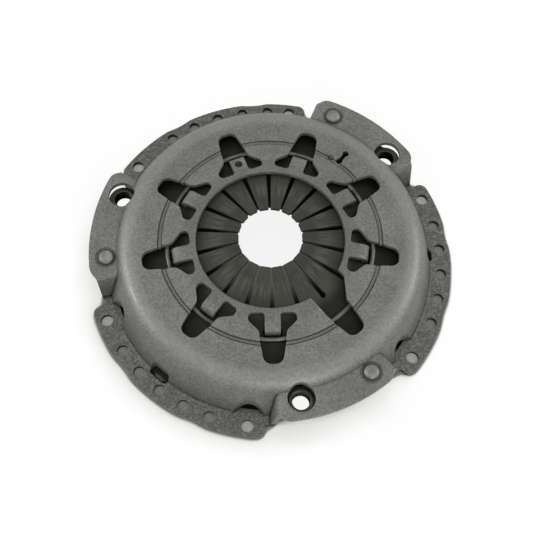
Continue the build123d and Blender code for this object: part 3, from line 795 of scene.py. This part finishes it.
FLOOR_HALF = 2.5
FLOOR_DROP = 0.2 * MM
FLOOR_GLOW = 0.87
FLOOR_WHITE = 0.80
NEAR_SHADE = 6 * MM
FAR_SHADE = 60 * MM
SIDE_SHADE = 40 * MM
LIGHT_SIDE = (0.55, 0.66, 0.50)
DARK_CIRCLE = 122 * MM
SPOT_EDGE = 0.8 * MM
FIRST_BOLT = radians(21.7)
BOLTS = 6
LAMPS = (
    ("left", (-0.80, 0.10, 0.50), 0.40, 2.4),
    ("right", (0.85, 0.10, 0.36), 0.40, 2.0),
    ("front", (0.20, -0.85, 0.50), 0.50, 2.4),
)
ROOM_LIGHT = 0.62
AIM = Vector((-2.88, -13.9, 20.0)) * MM
CAMERA_AZIMUTH = -3.321
CAMERA_ELEVATION = 66.87
CAMERA_ROLL = 2.165
CAMERA_DISTANCE = 0.67265
CAMERA_LENS = 60.788


def background_share(start):
    """1 for rays from the camera and for reflections, 0 for the light that falls on things."""
    seen = start.node("ShaderNodeLightPath", {}, {}, "Is Camera Ray")
    mirrored = start.node("ShaderNodeLightPath", {}, {}, "Is Glossy Ray")
    passed = start.node("ShaderNodeLightPath", {}, {}, "Is Transmission Ray")
    return start.math("MINIMUM", seen + mirrored + passed, 1.0)


azimuth, elevation = radians(CAMERA_AZIMUTH), radians(CAMERA_ELEVATION)
back = Vector((sin(azimuth) * cos(elevation), -cos(azimuth) * cos(elevation), sin(elevation)))
eye = AIM + back * CAMERA_DISTANCE


def seen_through(place, x, y, level, reach):
    """1 where the floor shows through a round hole at a level: its circle, spread from the camera's place
    down to the floor. The floor is painted white there."""
    spread = eye.z / (eye.z - level)
    x, y = eye.x + (x - eye.x) * spread, eye.y + (y - eye.y) * spread
    return distance_from(place, x, y).step(reach * spread + SPOT_EDGE, reach * spread)


def open_share(place, reach, axis=None):
    """Share of the sky that a place sees within reach, upwards or about another axis."""
    values = {"Distance": reach}
    if axis:
        values["Normal"] = place.joined(*axis)
    return place.node("ShaderNodeAmbientOcclusion", {"samples": 16}, values, "AO")


def joined_colour(place, red, green, blue):
    """A colour from three values."""
    return place.node("ShaderNodeCombineColor", {}, {"Red": red, "Green": green, "Blue": blue})


def white_floor():
    """Pale matt floor. To the camera it glows white with a painted shadow of the part: dark close under the
    part, and soft towards the side away from the light. Under the flange's holes it is painted grey. It is
    painted white where it shows through the bore and the hollow rivets, with a weak painted pool of light
    round the bore."""
    material, place = new_material("white_floor")
    radius, _, _ = cylinder_parts(place)
    near = open_share(place, NEAR_SHADE)
    far = open_share(place, FAR_SHADE)
    side = open_share(place, SIDE_SHADE, LIGHT_SIDE)
    # Painted shadow of the part: dark close under it, and softer towards the side away from LIGHT_SIDE.
    level = near.step(0.60, 0.74) * far.step(0.30, 0.50) * radius.step(DARK_CIRCLE, DARK_CIRCLE + 5 * MM)
    level = level * (1 - side.step(0.90, 0.52) * 0.24)
    # A weak painted pool of light round the bore.
    pool = distance_from(place, 0.0, 4 * MM).step(46 * MM, 20 * MM) * 0.09
    level = place.math("MAXIMUM", level, pool)
    # Painted grey shade under the flange's holes.
    under_holes = radius.step(DARK_CIRCLE + 4 * MM, DARK_CIRCLE + 6 * MM) * near.step(0.10, 0.50) * 0.16
    for number in range(BOLTS):
        angle = FIRST_BOLT + number * 2 * pi / BOLTS
        x, y = FLANGE_HOLE_CIRCLE * cos(angle), FLANGE_HOLE_CIRCLE * sin(angle)
        under_holes = under_holes + distance_from(place, x, y).step(6 * MM, 4 * MM) * 0.15
    level = place.math("MAXIMUM", level, under_holes)
    # Painted white spots where the floor shows through the bore and the hollow rivets.
    spots = [seen_through(place, 0.0, 0.0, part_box("diaphragm_spring")[1].z, TIP)]
    for number in (1, 2, 3):
        centre, low, high = middle_of(f"ear_rivet_{number}")
        foot = seen_through(place, centre.x, centre.y, low, BORE)
        spots.append(foot * seen_through(place, centre.x, centre.y, high, BORE))
    for spot in spots:
        level = place.math("MAXIMUM", level, spot)
    warm = level - level * (1 - level) * 0.12
    # The dim diffuse colour follows the same painted shadow and light level.
    grey = level * 0.12 + 0.03
    white = colour(FLOOR_WHITE, FLOOR_WHITE, FLOOR_WHITE)
    matt = place.node("ShaderNodeBsdfDiffuse", {}, {"Color": white})
    dim = place.node("ShaderNodeBsdfDiffuse", {}, {"Color": joined_colour(place, grey, grey, grey)})
    glowing = {"Color": joined_colour(place, level, level, warm), "Strength": FLOOR_GLOW}
    glow = place.node("ShaderNodeEmission", {}, glowing)
    lit = place.node("ShaderNodeAddShader", {}, {0: dim, 1: glow})
    surface = place.node("ShaderNodeMixShader", {}, {0: background_share(place), 1: matt, 2: lit})
    place.node("ShaderNodeOutputMaterial", {}, {"Surface": surface})
    return material


corners = np.array([[-1, -1], [1, -1], [1, 1], [-1, 1]]) * FLOOR_HALF
floor_points = np.column_stack([corners, np.full(4, cad_box[0][2] - FLOOR_DROP)])
floor_mesh = bpy.data.meshes.new("floor")
floor_mesh.from_pydata(floor_points, [], [(0, 1, 2, 3)])
floor_mesh.materials.append(white_floor())
floor = bpy.data.objects.new("floor", floor_mesh)
bpy.context.scene.collection.objects.link(floor)

world = bpy.data.worlds.new("room")
bpy.context.scene.world = world
world.use_nodes = True
world.node_tree.nodes.clear()
room = Wire(world.node_tree, None)
strength = background_share(room) * (1 - ROOM_LIGHT) + ROOM_LIGHT
glow = room.node("ShaderNodeBackground", {}, {"Color": colour(1, 1, 1), "Strength": strength})
room.node("ShaderNodeOutputWorld", {}, {"Surface": glow})

for name, place, size, power in LAMPS:
    lamp_data = bpy.data.lights.new(name, "AREA")
    lamp_data.shape = "DISK"
    lamp_data.size = size
    lamp_data.energy = power
    lamp = bpy.data.objects.new(name, lamp_data)
    lamp.location = place
    lamp.rotation_euler = (AIM - Vector(place)).to_track_quat("-Z", "Y").to_euler()
    bpy.context.scene.collection.objects.link(lamp)

camera_data = bpy.data.cameras.new("camera")
camera_data.lens = CAMERA_LENS
camera = bpy.data.objects.new("camera", camera_data)
upright = (-back).to_track_quat("-Z", "Y").to_matrix().to_4x4()
roll = Matrix.Rotation(radians(CAMERA_ROLL), 4, "Z")
camera.matrix_world = Matrix.Translation(eye) @ upright @ roll
bpy.context.scene.collection.objects.link(camera)
bpy.context.scene.camera = camera
bpy.context.scene.view_settings.view_transform = "Standard"
